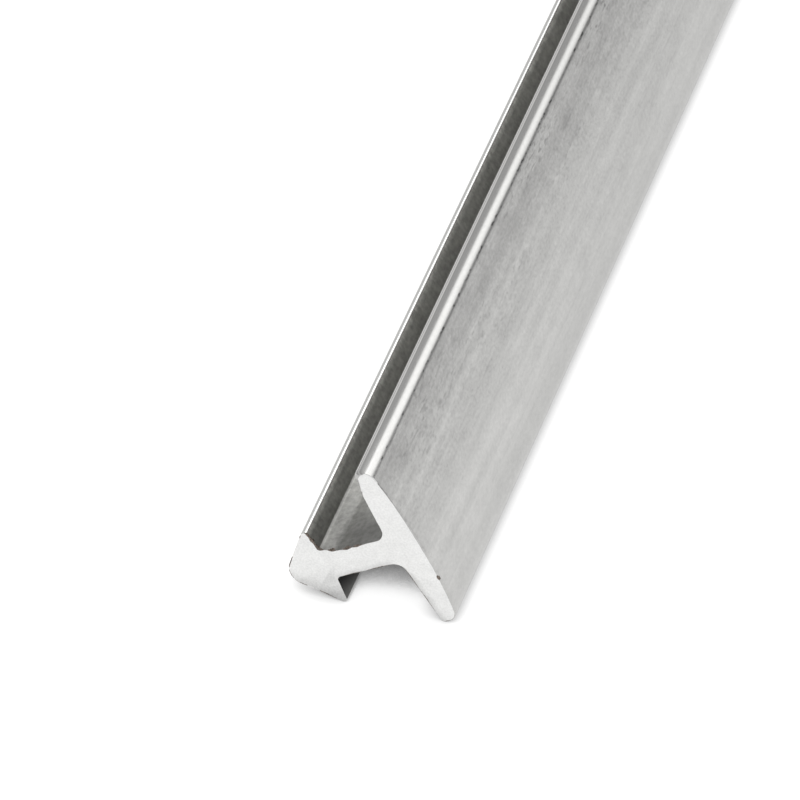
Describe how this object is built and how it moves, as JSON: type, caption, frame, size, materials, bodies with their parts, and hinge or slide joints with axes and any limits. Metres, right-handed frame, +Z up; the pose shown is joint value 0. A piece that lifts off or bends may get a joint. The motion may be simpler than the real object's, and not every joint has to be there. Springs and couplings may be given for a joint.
{
  "type": "expansion joint profile",
  "caption": "Straight extruded bar of T section: a crowned flange that covers a floor joint, a web, and an arrow-shaped foot with a barb on each side that grips in the joint.",
  "frame": {"origin": "middle of the bar's box, on the level floor that the bar lies on", "axes": "+Y along the bar, +Z up, +X towards the side that the flange's face looks to; the bar lies on one flange edge and one barb"},
  "size_m": [0.009, 1, 0.009],
  "materials": {
    "mill_aluminium": "mill finish with fine draw lines along the bar"
  },
  "bodies": {
    "root": {"profile": "mill_aluminium"}
  },
  "joints": []
}
